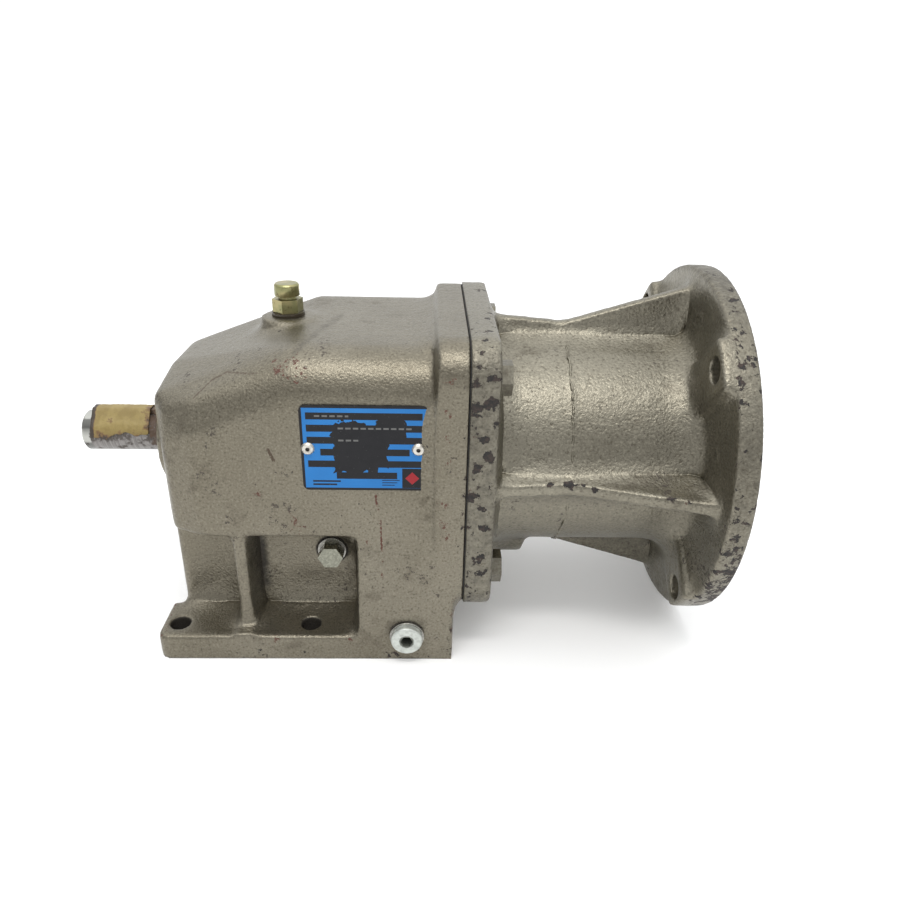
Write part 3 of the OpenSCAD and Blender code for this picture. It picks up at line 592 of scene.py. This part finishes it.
SLOTS = {
    "case_paint": cast_paint("case_paint", (0.168, 0.151, 0.114), (0.212, 0.193, 0.150), 1050, 0.6),
    "adapter_paint": cast_paint("adapter_paint", (0.184, 0.169, 0.132), (0.236, 0.219, 0.173), 900, 0.6),
    "gasket": moulded("gasket", (0.012, 0.011, 0.010), 0.8),
    "bolt_steel": metal("bolt_steel", (0.215, 0.200, 0.160), 0.36, 0.5),
    "washer_steel": metal("washer_steel", (0.42, 0.41, 0.38), 0.3, 0.3),
    "ground_steel": metal("ground_steel", (0.60, 0.60, 0.60), 0.22, 0.0),
    "yellow_zinc": vent_finish("yellow_zinc"),
    "zinc_steel": metal("zinc_steel", (0.30, 0.30, 0.245), 0.24, 0.30),
    "pale_zinc": drain_finish("pale_zinc"),
    "nameplate_blue": nameplate_finish("nameplate_blue"),
    "rivet_steel": rivet_finish("rivet_steel"),
    "seal_rubber": moulded("seal_rubber", (0.015, 0.015, 0.015), 0.55),
    "spring_steel": metal("spring_steel", (0.10, 0.10, 0.10), 0.4, 0.2),
    "shaft_steel": shaft_finish("shaft_steel"),
    "key_steel": metal("key_steel", (0.16, 0.115, 0.085), 0.5, 0.7, stretch=(0.05, 1, 1)),
    "wrap_tape": wrap_finish("wrap_tape"),
    "spider_rubber": moulded("spider_rubber", (0.50, 0.09, 0.025), 0.5),
    "hub_iron": metal("hub_iron", (0.30, 0.30, 0.30), 0.42, 0.2, stretch=(1, 0.05, 0.05)),
    "gear_steel": metal("gear_steel", (0.48, 0.49, 0.50), 0.25, 0.1),
    "bearing_steel": metal("bearing_steel", (0.64, 0.65, 0.66), 0.15, 0.0, stretch=(1, 0.05, 0.05)),
    "cage_brass": metal("cage_brass", (0.60, 0.44, 0.17), 0.30, 0.1),
}


# ---------- mesh tools ----------

def mesh_object(name, vertices, faces, material):
    mesh = bpy.data.meshes.new(name)
    mesh.from_pydata([tuple(v) for v in vertices], [], faces)
    mesh.validate()
    mesh.materials.append(material)
    obj = bpy.data.objects.new(name, mesh)
    SCENE.collection.objects.link(obj)
    return obj


def evaluated(obj):
    """obj's mesh with its modifiers applied, as a new mesh."""
    depsgraph = bpy.context.evaluated_depsgraph_get()
    return bpy.data.meshes.new_from_object(obj.evaluated_get(depsgraph))


def arrays(mesh):
    """A mesh's vertices in millimetres, and its edges."""
    co = np.empty(len(mesh.vertices) * 3, np.float64)
    mesh.vertices.foreach_get("co", co)
    edges = np.empty(len(mesh.edges) * 2, np.int64)
    mesh.edges.foreach_get("vertices", edges)
    return co.reshape(-1, 3) / MM, edges.reshape(-1, 2)


def move_vertices(mesh, co):
    mesh.vertices.foreach_set("co", (co * MM).astype(np.float32).ravel())
    mesh.update()


def normals_of(mesh):
    out = np.empty(len(mesh.vertices) * 3, np.float32)
    mesh.vertex_normals.foreach_get("vector", out)
    return out.reshape(-1, 3).astype(np.float64)


def neighbour_mean(values, edges, degree):
    """Mean of each vertex's neighbours, for values of one or more columns."""
    a, b = edges[:, 0], edges[:, 1]
    count = len(degree)
    columns = [
        (np.bincount(a, v[b], count) + np.bincount(b, v[a], count)) / degree
        for v in np.atleast_2d(values.T)
    ]
    return np.array(columns).T


def smooth(co, edges, degree, rounds, weight):
    for _ in range(rounds):
        co = co + weight[:, None] * (neighbour_mean(co, edges, degree) - co)
    return co


def wave_noise(co, wavelength, seed):
    """Smooth noise of about unit height: a sum of plane waves with fixed random directions."""
    count = 14
    rng = np.random.default_rng(seed)
    total = np.zeros(len(co))
    for _ in range(count):
        direction = rng.normal(size=3)
        direction /= np.linalg.norm(direction)
        size = wavelength * rng.uniform(0.7, 1.5)
        total += np.sin(co @ direction * (2 * math.pi / size) + rng.uniform(0, 2 * math.pi))
    return total / math.sqrt(count)


def ramp(values, low, high):
    return np.clip((values - low) / (high - low), 0, 1)


def blobs(co, places):
    """On the near side, 1 at each place, given as (x, z, radius), and 0 beyond its radius."""
    field = np.zeros(len(co))
    for x, z, radius in places:
        field = np.maximum(field, 1 - np.hypot(co[:, 0] - x, co[:, 2] - z) / radius)
    return field * (co[:, 1] < NEAR_SIDE)


def distance_to(co, points):
    """On the near side, each vertex's distance to a line through (x, z) points, held at FAR."""
    best = np.full(len(co), FAR)
    flat = co[:, [0, 2]]
    for start, end in zip(points[:-1], points[1:]):
        start, end = np.array(start), np.array(end)
        way = end - start
        along = np.clip((flat - start) @ way / np.dot(way, way), 0, 1)
        best = np.minimum(best, np.linalg.norm(flat - start - along[:, None] * way, axis=1))
    return np.where(co[:, 1] < NEAR_SIDE, best, FAR)


def set_attribute(mesh, name, values):
    attribute = mesh.attributes.new(name, "FLOAT", "POINT")
    attribute.data.foreach_set("value", values.astype(np.float32))


def cast_copy(node, name, material, cut, outside, relief, wear, fillet_rounds, fillet_most):
    """A copy of a casting with the soft edges, fillets and rippled skin of a sand mould.

    cut(co) is 1 on machined faces, which stay as they are, and outside(co) is 1 on the outer skin, which
    gets fillets and ripples. relief(co) raises that skin, in millimetres. wear(co) gives the fields that the
    paint reads: the wear, and where it paints shade. Each pass of fillets is found by fillet_rounds of
    smoothing and adds up to fillet_most.
    """
    obj = bpy.data.objects.new(name, NODES[node].data.copy())
    SCENE.collection.objects.link(obj)
    remesh = obj.modifiers.new("remesh", "REMESH")
    remesh.mode = "VOXEL"
    remesh.voxel_size = VOXEL * MM
    mesh = evaluated(obj)
    obj.modifiers.clear()
    co, edges = arrays(mesh)
    degree = np.maximum(np.bincount(edges.ravel(), minlength=len(co)), 1)
    soft = 1 - cut(co)

    # fillets: only where smoothing would move the skin outwards, built up in passes
    skin = outside(co) * soft
    for _ in range(FILLET_PASSES):
        normal = normals_of(mesh)
        settled = smooth(co, edges, degree, fillet_rounds, 0.5 * soft)
        outward = np.einsum("ij,ij->i", settled - co, normal)
        fill = fillet_most * np.tanh(np.maximum(outward, 0) / fillet_most)
        fill = skin * np.clip((outward - 0.12) / 0.3, 0, 1) * fill
        for _ in range(FILL_ROUNDS):
            fill = skin * (0.5 * fill + 0.5 * neighbour_mean(fill, edges, degree)[:, 0])
        co = co + fill[:, None] * normal
        move_vertices(mesh, co)

    # rounded edges
    start = co
    co = smooth(co, edges, degree, EDGE_ROUNDS, 0.5 * soft)
    move_vertices(mesh, co)
    normal = normals_of(mesh)
    moved = np.einsum("ij,ij->i", start - co, normal)
    for _ in range(3):
        moved = neighbour_mean(moved, edges, degree)[:, 0]

    # the rippled skin, and the fields that the paint reads
    lift = relief(co) + 0.020 * wave_noise(co, 6.0, 3) + 0.025 * wave_noise(co, 3.0, 4)
    co = co + (lift * skin)[:, None] * normal
    move_vertices(mesh, co)
    set_attribute(mesh, "edge", np.clip(moved / 0.45, 0, 1))
    # hollow marks the concave corners, which the paint darkens as painted shade
    set_attribute(mesh, "hollow", np.clip(-moved / 0.6, 0, 1))
    for field, values in wear(co).items():
        set_attribute(mesh, field, values)
    mesh.shade_smooth()
    mesh.materials.clear()
    mesh.materials.append(material)
    obj.data = mesh
    return obj


def off_axis(co):
    """Distance from the axis of the output shaft."""
    return np.hypot(co[:, 1], co[:, 2] - AXIS_Z)


# ---------- gear case casting ----------

def off_foot_hole(co):
    """Distance from the middle of the nearest hole of the foot."""
    return np.hypot(np.abs(co[:, 0]) - FOOT_HOLE_X, np.abs(co[:, 1]) - FOOT_HOLE_Y)


def output_bore(co):
    """The bore round the output shaft and its seal."""
    return ramp(-off_axis(co), -BORE_R - 0.4, -BORE_R) * ramp(-co[:, 0], 0, 1)


def gearcase_cut(co):
    """Machined: the joint face, the underside of the foot and the holes."""
    x, _, z = co.T
    cut = np.maximum(ramp(-z, -0.8, -0.2), ramp(x, CASE_FACE_X - 1.1, CASE_FACE_X - 0.5))
    cut = np.maximum(cut, ramp(-off_foot_hole(co), -5.8, -5.2) * (z < 15))
    return np.maximum(cut, output_bore(co))


def gearcase_outside(co):
    """The foot and its recesses, the nose, the roof, the sides and the joint flange."""
    x, y, z = co.T
    side = np.abs(y)
    under = (side > RECESS_Y - 0.5) & (z < OVERHANG_Z + 1)
    roof = ROOF_Z - np.where(x < ROOF_BREAK_X, (ROOF_BREAK_X - x) * ROOF_SLOPE, 0)
    flange = (x > CASE_FLANGE_X - 0.5) & (off_axis(co) > CASE_OPENING_R)
    skin = under | (x < NOSE_X + 0.5) | (z > roof - 2) | (side > BODY_HALF - 0.5) | flange
    return skin.astype(float)


def gearcase_relief(co):
    """The feet of the two ribs, flared where they meet the foot."""
    x, y, z = co.T
    near_rib = np.exp(-(np.clip(np.abs(x - RIB_X) - 3, 0, None) / 2.0) ** 2) * (np.abs(y) > RECESS_Y - 1)
    return 1.2 * near_rib * ramp(-z, -26, -13) * (z > 12)


def gearcase_bare(co):
    """The underside of the foot, and the bore round the output shaft."""
    return np.maximum(ramp(-co[:, 2], -0.6, -0.3), output_bore(co))


def gearcase_shade_and_dirt(co):
    """Painted shade in the foot's holes, round the plugs and behind the ribs, with dirt across the roof."""
    x, y, z = co.T
    # Painted shade in the foot's holes, in the recess round the level plug and under the top edge of the
    # drain plug's counterbore
    holes = ramp(-off_foot_hole(co), -5.4, -4.4) * ramp(z, 0.5, 2) * ramp(-z, -13, -12)
    level = ramp(-np.hypot(x - LEVEL_X, z - LEVEL_Z), -8.2, -7.0) * (np.abs(y + RECESS_Y) < 3)
    drain = ramp(-np.hypot(x - DRAIN_X, z - DRAIN_Z), -9.2, -8.0) * ramp(z, DRAIN_Z, DRAIN_Z + 4)
    drain = 0.8 * drain * (np.abs(y + FOOT_HALF) < 2)
    # Painted shade, with some dirt, on the walls behind the ribs
    behind = np.exp(-((x - RIB_X - 5.5) / 3.4) ** 2) * (x > RIB_X + 2)
    behind = behind * (np.abs(y) < 56.5) * (np.abs(y) > 38)
    behind = 0.75 * behind * ramp(z, 14, 26) * (z < OVERHANG_Z + 0.5)
    across = np.abs(x - 30 - 0.25 * (y + 46))
    smear = 0.46 * np.exp(-(across / 3.5) ** 2) * (z > OVERHANG_Z) * ramp(y, -56, -46) * ramp(-y, -14, -4)
    return np.maximum.reduce([holes, level, drain, smear, behind])


def gearcase_wear_and_shade(co):
    """The fields that cast_paint reads. Places are (x, z, radius) on the near side."""
    x, y, z = co.T
    rust = [
        (26, 135, 6), (33, 135, 6), (30, 132, 5), (22, 137, 4), (30, 138, 5), (91, 135, 5),
        (91, 121, 5), (91, 111, 4), (92, 100, 4), (90, 80, 6), (90, 70, 6), (92, 64, 5),
        (25, 70, 7), (27, 66, 7), (30, 60, 8), (28, 64, 8), (27, 54, 6), (24, 135, 6), (12, 82, 6),
        (58, 59, 4), (64, 44, 3), (-36, 11, 4), (16, 11, 4), (49, 11, 4), (95, 32, 4), (95, 25, 4),
        (95, 17, 5),
    ]
    dark = [
        (19, 77, 7), (27, 65, 8), (-2, 111, 9), (91, 96, 5), (-6, 104, 8), (17, 70, 8), (24, 92, 7),
        (20, 62, 7), (-10, 92, 8), (12, 138, 6), (34, 137, 7), (40, 141, 6), (-30, 118, 8), (-18, 126, 7),
        (4, 133, 8), (76, 45, 8), (82, 42, 7), (70, 46, 6), (86, 48, 6), (88, 35, 6), (64, 38, 6),
        (10, 30, 10), (45, 22, 9), (-20, 25, 8), (22, 66, 9), (31, 64, 9), (25, 76, 8), (0, 70, 9),
        (2, 61, 8), (-6, 84, 8),
    ]
    corner = ramp(x, 92, 98) * 0.26 + ramp(-z, -8, -2) * 0.24
    return {
        "bare": gearcase_bare(co),
        "rust_spots": blobs(co, rust),
        "dark_spots": blobs(co, dark),
        "crack": distance_to(co, [(61, 85), (63, 70), (64, 50)]),
        "crease": distance_to(co, [(-12, 122), (-5, 128), (1, 131), (15, 133)]),
        "scratch": distance_to(co, [(18, 103), (20, 98)]),
        "chips": corner * ramp(np.abs(y), 50, 60),
        "shade_and_darkening": gearcase_shade_and_dirt(co),
    }


# ---------- motor adapter casting ----------

def off_flange_hole(co):
    """Distance from the middle of the nearest motor bolt hole."""
    return np.hypot(np.abs(co[:, 1]) - HOLE_OUT, np.abs(co[:, 2] - AXIS_Z) - HOLE_OUT)


def pilot_recess(co):
    """The recess in the motor face that the motor's register goes into."""
    return ramp(co[:, 0], PILOT_X, PILOT_X + 0.7) * ramp(-off_axis(co), -PILOT_R - 0.5, -PILOT_R)


def adapter_cut(co):
    """Machined: the joint face, the motor face and its pilot, the bolt holes and the bearing seats."""
    x = co[:, 0]
    faces = np.maximum(ramp(-x, -ADAPTER_X - 1.1, -ADAPTER_X - 0.5), ramp(x, FACE_X - 1.0, FACE_X - 0.4))
    holes = ramp(-off_flange_hole(co), -6.9, -6.3) * ramp(x, 195, 196)
    seats = ramp(-off_axis(co), -27, -26) * ramp(-x, -HUB_END_X, 1 - HUB_END_X)
    return np.maximum.reduce([faces, pilot_recess(co), holes, seats])


def adapter_outside(co):
    """All that lies outside the neck's wall, but for the seat of the countershaft's bearing."""
    x, y, z = co.T
    seat = (np.hypot(y, z - COUNTER_Z) < SEAT_R + 2) & (x < SEAT_END_X + 1)
    return ((off_axis(co) > NECK_R - 0.8) & ~seat).astype(float)


def adapter_relief(co):
    """A swelling along the mould's joint, and two round cast marks on the back of the flange."""
    x, y, z = co.T
    lift = 0.25 * np.exp(-((x - SEAM_X) / 1.6) ** 2)
    back = (np.abs(x - FLANGE_BACK_X) < 1.5) & (off_axis(co) > NECK_R + 4)
    for place_y, place_z in ((-15, 147), (-58, 103)):
        off = np.hypot(y - place_y, z - place_z)
        lift += back * 0.55 * np.exp(-((off - 3.4) / 0.8) ** 2)
    return lift


def adapter_bare(co):
    """The motor face with its pilot recess, and the bearing seats inside."""
    x = co[:, 0]
    seats = ramp(-off_axis(co), -23, -22) * ramp(-x, -HUB_END_X, 1 - HUB_END_X)
    return np.maximum.reduce([ramp(x, FACE_X - 0.6, FACE_X - 0.2), pilot_recess(co), seats])


def adapter_wear_and_shade(co):
    """The fields that cast_paint reads. Angles go round from the near side, in degrees, upwards first."""
    x, y, z = co.T
    radius = off_axis(co)
    chips = [
        (102, 134, 4), (108, 136, 4), (109, 126, 6), (102, 123, 6), (106, 111, 4), (108, 103, 5),
        (103, 98, 5), (102, 85, 6), (106, 79, 4), (107, 69, 4), (106, 53, 5), (107, 46, 5),
    ]
    ridge = np.where(x < SEAM_X, 57.5, 57.5 + 18 * (x - SEAM_X) / (FLANGE_BACK_X - SEAM_X))
    on_ridge = ramp(radius, ridge - 2.6, ridge - 1.2)
    ridge_chips = [
        (136, 89, 4), (142, 88, 5), (149, 88, 4), (153, 87, 3), (175, 88, 3), (183, 88, 4), (190, 88, 3),
    ]
    rim = ramp(x, 199, 204) * ramp(radius, 77, 81)
    around = np.degrees(np.arctan2(z - AXIS_Z, -y))
    patchy = 0.24 + 0.34 * ramp(-around, -6, 6) * ramp(around, -60, -40)
    patchy += 0.18 * ramp(around, 30, 45) * ramp(-around, -75, -60)
    on_plate = ramp(-x, -ADAPTER_PLATE_END - 1, -ADAPTER_PLATE_END)
    past_plate = ramp(x, ADAPTER_PLATE_END, ADAPTER_PLATE_END + 6)
    around_rim = rim * patchy + on_plate * ramp(radius, 56, 60) * 0.26
    # Painted shade inside the motor bolt holes
    in_holes = ramp(-off_flange_hole(co), -5.6, -4.6) * ramp(x, 196, 198)
    # The flange's rim and the plate's sides darker, and painted shade on the underside of the neck past the
    # plate
    dimming = [
        rim * (0.36 + 0.14 * ramp(around, 50, 80)),
        0.46 * on_plate * ramp(np.abs(y), 52, 57),
        0.38 * ramp(-around, 20, 60) * past_plate,
    ]
    nowhere = np.full(len(co), FAR)
    return {
        "bare": adapter_bare(co),
        "rust_spots": blobs(co, [(101, 112, 4), (101, 86, 5)]),
        "dark_spots": blobs(co, [(203, 52, 16), (206, 70, 10), (210, 60, 12), (183, 88, 10)]),
        "crack": nowhere,
        "crease": nowhere,
        "scratch": nowhere,
        "chips": np.maximum.reduce([blobs(co, chips), blobs(co, ridge_chips) * on_ridge, around_rim]),
        "shade_and_darkening": np.maximum.reduce([in_holes, *dimming]),
    }


def seam_ridge(material):
    """The thin ragged fin round the neck, where the two halves of the mould met."""
    turns = 900
    angle = np.linspace(0, 2 * math.pi, turns, endpoint=False)
    ring = np.stack([np.zeros(turns), np.cos(angle), np.sin(angle)], axis=1) * NECK_R
    drift = 0.35 * wave_noise(ring, 9, 12) + 0.15 * wave_noise(ring, 2.5, 13)
    height = np.clip(0.75 + 0.34 * wave_noise(ring, 4, 14) + 0.16 * wave_noise(ring, 1.6, 15), 0.08, 1.1)
    # each corner of the fin's section: how far along the neck, how far out, and its share of the height
    profile = [(-0.9, -0.4, 0), (-0.3, 0, 0.9), (0.15, 0.05, 1.0), (1.1, -0.4, 0)]
    rows = []
    for along, lift, share in profile:
        radius = NECK_R + 0.25 + lift + share * height
        y, z = np.cos(angle) * radius, AXIS_Z + np.sin(angle) * radius
        rows.append(np.stack([SEAM_X + along + drift, y, z], axis=1))
    points = np.stack(rows, axis=1).reshape(-1, 3)
    sides = len(profile)
    faces = [
        (i * sides + j, i * sides + (j + 1) % sides, ((i + 1) % turns) * sides + (j + 1) % sides,
         ((i + 1) % turns) * sides + j)
        for i in range(turns)
        for j in range(sides)
    ]
    ridge = mesh_object("seam_ridge", points * MM, faces, material)
    ridge.data.shade_smooth()
    for field in ("edge", "hollow", "bare", "rust_spots", "dark_spots", "chips", "shade_and_darkening"):
        set_attribute(ridge.data, field, np.full(len(points), 0.5 if field == "edge" else 0.0))
    for field in ("crack", "crease", "scratch"):
        set_attribute(ridge.data, field, np.full(len(points), FAR))
    return ridge


def join(target, extra):
    """Makes extra part of target's mesh."""
    bpy.ops.object.select_all(action="DESELECT")
    extra.select_set(True)
    target.select_set(True)
    bpy.context.view_layer.objects.active = target
    bpy.ops.object.join()


def make_castings():
    case = cast_copy("gearcase", "cast_gearcase", SLOTS["case_paint"],
                     gearcase_cut, gearcase_outside, gearcase_relief, gearcase_wear_and_shade, 90, 1.6)
    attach(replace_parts(case, "gearcase"), "housing")
    adapter = cast_copy("motor_adapter", "cast_motor_adapter", SLOTS["adapter_paint"],
                        adapter_cut, adapter_outside, adapter_relief, adapter_wear_and_shade, 110, 2.0)
    join(adapter, seam_ridge(SLOTS["adapter_paint"]))
    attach(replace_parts(adapter, "motor_adapter"), "housing")


# ---------- tape round the key ----------

def wrap_outline(low):
    """The tape's outer line seen along the shaft, from low degrees below one side, over the key, to as far
    below the other.
    """
    radius = SHAFT_R + TAPE_SKIN
    over_key = KEY_TOP + TAPE_SKIN
    flank = [math.radians(a) for a in np.linspace(90 + low, 40, 14)]
    right = [(radius * math.sin(a), radius * math.cos(a)) for a in flank]
    shoulder = (KEY_HALF + TAPE_SKIN + 0.1, over_key - 0.15)
    start = right[-1]
    right += [tuple(np.array(start) + (np.array(shoulder) - start) * t) for t in (0.25, 0.5, 0.75, 1.0)]
    right += [(KEY_HALF - 0.2, over_key + 0.08)]
    top = [(w, over_key + 0.08) for w in (1.2, 0.0)]
    left = [(-y, z) for y, z in reversed(right + top[:1])]
    return right + top + left


def make_wrap():
    """The tape: a wrinkled sheet over the shaft and its key, open below, with a ragged lower edge."""
    low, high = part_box("key_wrap")
    x0, x1 = low.x / MM - 1.3, high.x / MM - 1.7
    stations = np.linspace(x0, x1, 56)
    rows = []
    for x in stations:
        ragged = 6 * math.sin(x * 0.35 + 1) + 2.5 * math.sin(x * 0.9 + 1) + math.sin(x * 1.7)
        outline = wrap_outline(-16 * (x - x0) / (x1 - x0) + ragged)
        rows.append([(x, y, AXIS_Z + z) for y, z in outline])
    points = np.array(rows)
    count = points.shape[1]
    flat = points.reshape(-1, 3)
    away = flat - (0, 0, AXIS_Z)
    away[:, 0] = 0
    away /= np.linalg.norm(away, axis=1)[:, None]
    wrinkle = 0.10 * wave_noise(flat * (0.6, 1, 1), 3.2, 21) + 0.06 * wave_noise(flat, 1.6, 22)
    flat = flat + away * np.clip(wrinkle + 0.10, 0, 0.4)[:, None]
    faces = [
        (i * count + j, i * count + j + 1, (i + 1) * count + j + 1, (i + 1) * count + j)
        for i in range(len(stations) - 1)
        for j in range(count - 1)
    ]
    wrap = mesh_object("tape_wrap", flat * MM, faces, SLOTS["wrap_tape"])
    solid = wrap.modifiers.new("thickness", "SOLIDIFY")
    solid.thickness = 0.34 * MM
    solid.offset = -1 if faces_outward(wrap) else 1
    mesh = evaluated(wrap)
    wrap.modifiers.clear()
    wrap.data = mesh
    mesh.shade_smooth()
    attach(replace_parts(wrap, "key_wrap"), "output_rotor")


def faces_outward(obj):
    """Whether the faces of a piece round the shaft look away from the axis."""
    centre = Vector((0, 0, AXIS_Z * MM))
    total = 0.0
    for polygon in obj.data.polygons:
        out = polygon.center - centre
        out.x = 0
        total += polygon.normal.dot(out)
    return total > 0


# ---------- CAD nodes that keep their shape ----------

# The width of each node's bevels, in millimetres
BEVELS = {
    "housing_bolts": 0.35, "vent_plug": 0.3, "vent_cap": 0.5, "level_plug": 0.3, "drain_plug": 0.4,
    "nameplate": 0.15, "nameplate_rivets": 0.25, "output_shaft": 0.12, "level_plug_washer": 0.2,
    "drain_plug_washer": 0.2, "motor_side_hub": 0.4, "gear_side_hub": 0.4, "coupling_spider": 0.6,
    "hub_set_screws": 0.2, "output_key": 0.3,
}


def soften(obj, width):
    """Small bevels on the sharp edges of a CAD node, laid over its mesh."""
    weld = obj.modifiers.new("weld", "WELD")
    weld.merge_threshold = 0.002 * MM
    bevel = obj.modifiers.new("bevel", "BEVEL")
    bevel.width = width * MM
    bevel.segments = 2
    bevel.limit_method = "ANGLE"
    bevel.angle_limit = math.radians(34)
    bevel.harden_normals = True


def finish_nodes():
    """Gives every CAD node the finish of its slot in the record, and its bevels."""
    slot_of = {part["node"]: part["material_slot"] for part in frame["record"]["subparts"]}
    for name, obj in NODES.items():
        obj.data.materials.clear()
        obj.data.materials.append(SLOTS[slot_of[name]])
        if name in BEVELS:
            soften(obj, BEVELS[name])


make_camera()
make_studio()
make_floor()
finish_nodes()
make_castings()
make_wrap()
